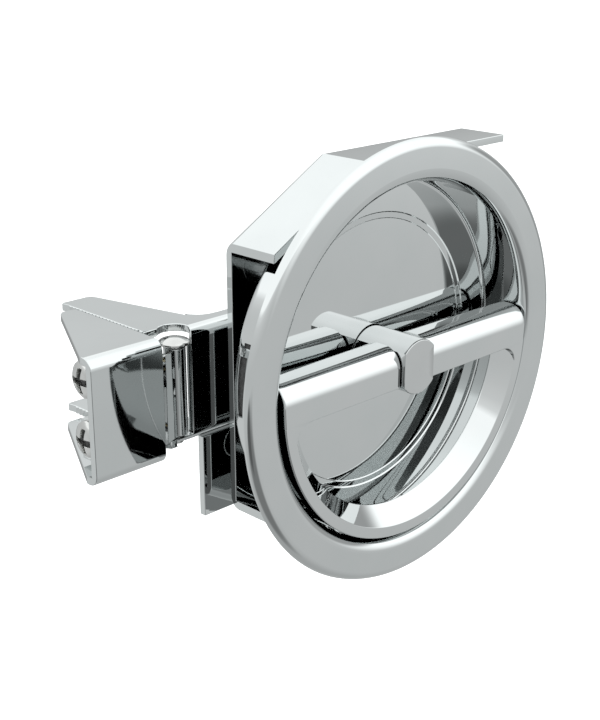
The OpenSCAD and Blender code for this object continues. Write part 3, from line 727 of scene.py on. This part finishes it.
def thread_wave(along_axis, pitch):
    """How deep the thread is cut: a triangle wave of (place / pitch - turns), from 0 at the crest to its depth."""
    turns = turn_angles[:, None] / (2 * np.pi)
    return np.abs(((along_axis / pitch - turns) % 1) * 2 - 1) * pitch * thread_share


def turned_rows(points, across=no_limit, upward=no_limit, threaded=0.0):
    """Rows (radius, depth, limit across, limit up, threaded) from points (radius, depth) that share the rest."""
    return np.column_stack([points, np.broadcast_to([across, upward, threaded], (len(points), 3))])


def milled(rows):
    """(r cos a, depth, r sin a) less the thread's wave, with the place across and up kept within the limits."""
    radius, depth, across, upward, threaded = (rows[:, k][None] for k in range(5))
    a = turn_angles[:, None]
    radius = radius - threaded * thread_wave(depth, thread_pitch)
    return turned(np.stack([np.clip(radius * np.cos(a), -across, across), depth + 0 * a,
                            np.clip(radius * np.sin(a), -upward, upward)], -1))


shaft = [(shaft_r, 10.3), (shaft_r, 11.8), (collar_r - 0.2, 11.8), (collar_r, 12.0), (collar_r, 13.1),
         (collar_r - 0.2, 13.3), (shaft_r, 13.3), (shaft_r, 14.5), (groove_r, 14.5), (groove_r, 15.7),
         (shaft_r, 15.7), (shaft_r, square_front)]
square_corner = square_half * math.sqrt(2)
thread_count = round((thread_back - thread_front) / thread_pitch * thread_steps) + 1
thread_depths = np.linspace(thread_front, thread_back, thread_count)
spindle_rows = np.vstack([
    turned_rows([(5.25, -2.5)], 3.98), turned_rows([(5.45, -2.42)], 4.15),
    turned_rows([(shaft_r, -2.2), (shaft_r, 10.3)], tongue_half), turned_rows(shaft),
    turned_rows([(square_corner, square_front), (square_corner, square_back)], square_half, square_half),
    turned_rows([(thread_r, square_back)]),
    turned_rows(np.column_stack([np.full_like(thread_depths, thread_r), thread_depths]), threaded=1.0),
    turned_rows([(thread_end_r, spindle_end)])])
add_piece("turned_spindle", "spindle", milled(spindle_rows))

# %% [markdown]
# The jaw turns on an upright pin with a wide, low head that sits in a notch of the arm. Round the pin goes the
# rolled eye: the end of the jaw's sheet, curled into a tube. The solid has this tube already, but with flat
# facets, and those break a reflection into streaks. A smooth tube a few hundredths wider covers them.

# %% Hinge pin and rolled eye
hinge_place = np.array([-40.6, 22.85, 0])
pin_r, eye_in_r, eye_out_r, eye_low, eye_high = 1.25, 1.5, 2.12, -9.45, 7.85
head_dome = arc((0, 3.3), 6.45, 85, 64.5, 12)
head_edge = [[2.92, 8.98], [3.0, 8.85], [3.0, 8.6], [2.85, 8.47], [2.0, 8.45], [2.0, 8.0]]
shank = [[pin_r, 8.0], [pin_r, -11.0], [pin_r - 0.2, -11.3], [0.05, -11.3]]
pin_points, pin_faces = turned(around(np.vstack([[[0.05, 9.75]], head_dome, head_edge, shank]), turn_angles))
add_piece("domed_hinge_pin", "jaw_pin", (pin_points + hinge_place, pin_faces))
eye_section = rounded_loop([(eye_in_r, eye_low, 0.12, 4), (eye_out_r, eye_low, 0.15, 4),
                            (eye_out_r, eye_high, 0.15, 4), (eye_in_r, eye_high, 0.12, 4)])
eye_points, eye_faces = revolved(eye_section, turn_angles)
add_extra("rolled_eye", "hinged_jaw", (eye_points + hinge_place, eye_faces))

# %% [markdown]
# Under the nut lies a split spring washer: a square wire wound once and cut. Its solid is a flat ring with a cut
# in it. Here the section also climbs while it goes once round the thread, so its two ends stand apart a little.
# The photograph does not show this washer, so it has the shape that such washers usually have.

# %% Split washer
washer_middle, washer_rise, washer_in_r, washer_out_r = 24.55, 0.28, 3.15, 5.6
washer_thick, washer_gap, washer_round = 1.2, 0.1, 0.15


def split_washer():
    """A rounded section carried once round Y, with its middle at middle + rise * (a - mean a) / pi."""
    half = washer_thick / 2
    corners = [(washer_in_r, -half), (washer_out_r, -half), (washer_out_r, half), (washer_in_r, half)]
    section = rounded_loop([(*corner, washer_round, 4) for corner in corners])
    a = np.linspace(math.pi / 2 + washer_gap, math.pi * 2.5 - washer_gap, 97)
    grid = around(section, a)[..., [0, 2, 1]]
    grid[..., 1] += washer_middle + washer_rise * ((a - a.mean()) / np.pi)[:, None]
    return lofted(grid)


add_piece("split_washer", "spring_washer", split_washer())

# %% [markdown]
# A cross-head screw is one turned grid too. Over the head the height is a low dome, less the depth of the recess
# wherever a place lies in either arm of the cross, with walls as steep as the grid allows. Below the head the
# radius carries the thread. Cutting the cross out with another mesh would be sharper, but six screws would need
# six cuts, and a height function needs none.

# %% Screw shape
dome_share, recess_share, cross_share, cross_narrow = 0.6, 0.75, 1.22, 8.5
end_slope, side_slope = 0.3, 0.16
# Each screw: radius and height of its head, radius and length of its shank, and the pitch
jaw_screw_size, plate_screw_size = (3.6, 2.4, 2.0, 12.77, 0.7), (3.5, 1.4, 2.0, 5.5, 0.7)


def cross_mask(u, v, head_r):
    """1 inside either arm of the cross and 0 outside, with short slopes at the ends and sides of the arms."""
    size = head_r * cross_share

    def arm(one, other):
        """Half the length less |one|, times half the width less |other|, each over its slope and kept to 0..1."""
        along = np.clip((size / 2 - np.abs(one)) / end_slope + 0.5, 0, 1)
        return along * np.clip((size / cross_narrow - np.abs(other)) / side_slope + 0.5, 0, 1)

    return np.maximum(arm(u, v), arm(v, u))


def screw(head_r, head_h, shank_r, length, pitch):
    """Grid with Z out of the head: dome h - R + sqrt(R^2 - r^2) less the cross, then rim, shank and thread."""
    rise = dome_share * head_h
    dome = (head_r ** 2 + rise ** 2) / (2 * rise)
    r = np.linspace(0.06, head_r - 0.2, 34)
    top = np.column_stack([r, head_h - dome + np.sqrt(dome ** 2 - r ** 2)])
    rim = [[head_r - 0.06, top[-1, 1] - 0.12], [head_r, top[-1, 1] - 0.3], [head_r, 0.1], [head_r - 0.1, 0.0],
           [shank_r, 0.0], [shank_r, -0.4]]
    places = np.linspace(-0.5, 0.6 - length, int((length - 1.1) / pitch * thread_steps))
    body = np.column_stack([np.full_like(places, shank_r), places])
    profile = np.vstack([top, rim, body, [[shank_r - 0.6, -length]]])
    index = np.arange(len(profile))[None]
    on_top = index < len(top)
    threaded = (index >= len(top) + len(rim)) & (index < len(profile) - 1)
    a, radius, height = turn_angles[:, None], profile[:, 0][None], profile[:, 1][None]
    radius = radius - threaded * thread_wave(height, pitch)
    u, v = radius * np.cos(a), radius * np.sin(a)
    return turned(np.stack([u, v, height - on_top * cross_mask(u, v, head_r) * head_h * recess_share], -1))


def recess_shade_plate(head_r, head_h):
    """A cross-shaped dark plate that paints shade at the foot of a recess: one corner turned three times, then lofted.
    """
    reach, half = head_r * 0.56, head_r * 0.12
    corner = np.array([[half, reach], [-half, reach], [-half, half]])
    quarter = np.array([[0, -1], [1, 0]])
    loop = np.vstack([corner @ np.linalg.matrix_power(quarter, k).T for k in range(4)])
    return lofted(np.stack([np.column_stack([loop, np.full(12, head_h * share)]) for share in (0.29, 0.52)]))


print("points in a jaw screw:", len(screw(*jaw_screw_size)[0]))
print("points in a plate screw:", len(screw(*plate_screw_size)[0]))

# %% [markdown]
# Two long screws close the jaw from the left, and four short ones hold the bracket to its posts from behind. The
# function for the shape makes all six: each is the same local shape, set in place by three directions.

# %% Screws in place
jaw_head, jaw_screw_up, plate_back, plate_screw_at = (-58.9, 24.5), 5.8, 18.75, 19.5
leftward = np.array([(0, 0, 1), (0, 1, 0), (-1, 0, 0)], float)
rearward = np.array([(1, 0, 0), (0, 0, -1), (0, 1, 0)], float)


def placed(shape, origin, axes):
    """Moves a shape so that its X, Y and Z run along three directions from an origin."""
    points, faces = shape
    return points @ axes + np.array(origin, float), faces


for side, height in (("upper", jaw_screw_up), ("lower", -jaw_screw_up)):
    head = (*jaw_head, height)
    node = side + "_jaw_screw"
    add_piece(side + "_cross_screw", node, placed(screw(*jaw_screw_size), head, leftward))
    # A dark plate in each cross recess paints the shade at its foot.
    add_extra(side + "_cross_screw_shade", node, placed(recess_shade_plate(*jaw_screw_size[:2]), head, leftward),
              "black_rubber")

heads = [(x, plate_back, z) for x in (-plate_screw_at, plate_screw_at) for z in (-plate_screw_at, plate_screw_at)]
plate_screw, plate_recess_shade = screw(*plate_screw_size), recess_shade_plate(*plate_screw_size[:2])
add_piece("plate_screws", "bracket_screws", joined(*(placed(plate_screw, head, rearward) for head in heads)))
# A dark plate in each cross recess paints the shade at its foot.
add_extra("plate_screw_shades", "bracket_screws",
          joined(*(placed(plate_recess_shade, head, rearward) for head in heads)), "black_rubber")

# %% [markdown]
# Folded sheet and milled pieces have the right faces in the frame already, but their edges are perfectly sharp,
# and no real edge is. Rebuilding them would gain nothing, so each is copied: the triangles of the copy are merged
# at their corners, and a bevel rolls a fraction of a millimetre off every sharp edge. These thin rounds catch the
# bright lines that tell the eye where one polished face ends and the next begins.

# %% Soft edges
bevel_from = math.radians(35)
edge_rolls = {"back_bracket": 0.14, "cam_arm": 0.14, "hinged_jaw": 0.14, "arm_stop": 0.14,
              "stop_washer": 0.12, "cam_washer": 0.12, "cam_nut": 0.12, "stop_rivets": 0.08, "stop_pins": 0.15,
              "ring_pivot_pin": 0.2, "spindle_bush": 0.12, "spacer_posts": 0.12}


def soft_edged(node, width):
    """A merged copy of a solid, with every edge that bends by more than bevel_from rolled to two facets."""
    copy = bmesh.new()
    copy.from_mesh(frame["nodes"][node].data)
    bmesh.ops.remove_doubles(copy, verts=copy.verts, dist=1e-6)
    mesh = bpy.data.meshes.new(node + "_finished")
    copy.to_mesh(mesh)
    copy.free()
    piece = bpy.data.objects.new(node + "_finished", mesh)
    scene.collection.objects.link(piece)
    roll = piece.modifiers.new("rolled_edges", "BEVEL")
    roll.width = width * mm
    roll.segments = 2
    roll.limit_method = "ANGLE"
    roll.angle_limit = bevel_from
    roll.use_clamp_overlap = False
    finish_piece(piece, node)


for node, width in edge_rolls.items():
    soft_edged(node, width)
print("pieces with rolled edges:", len(edge_rolls))
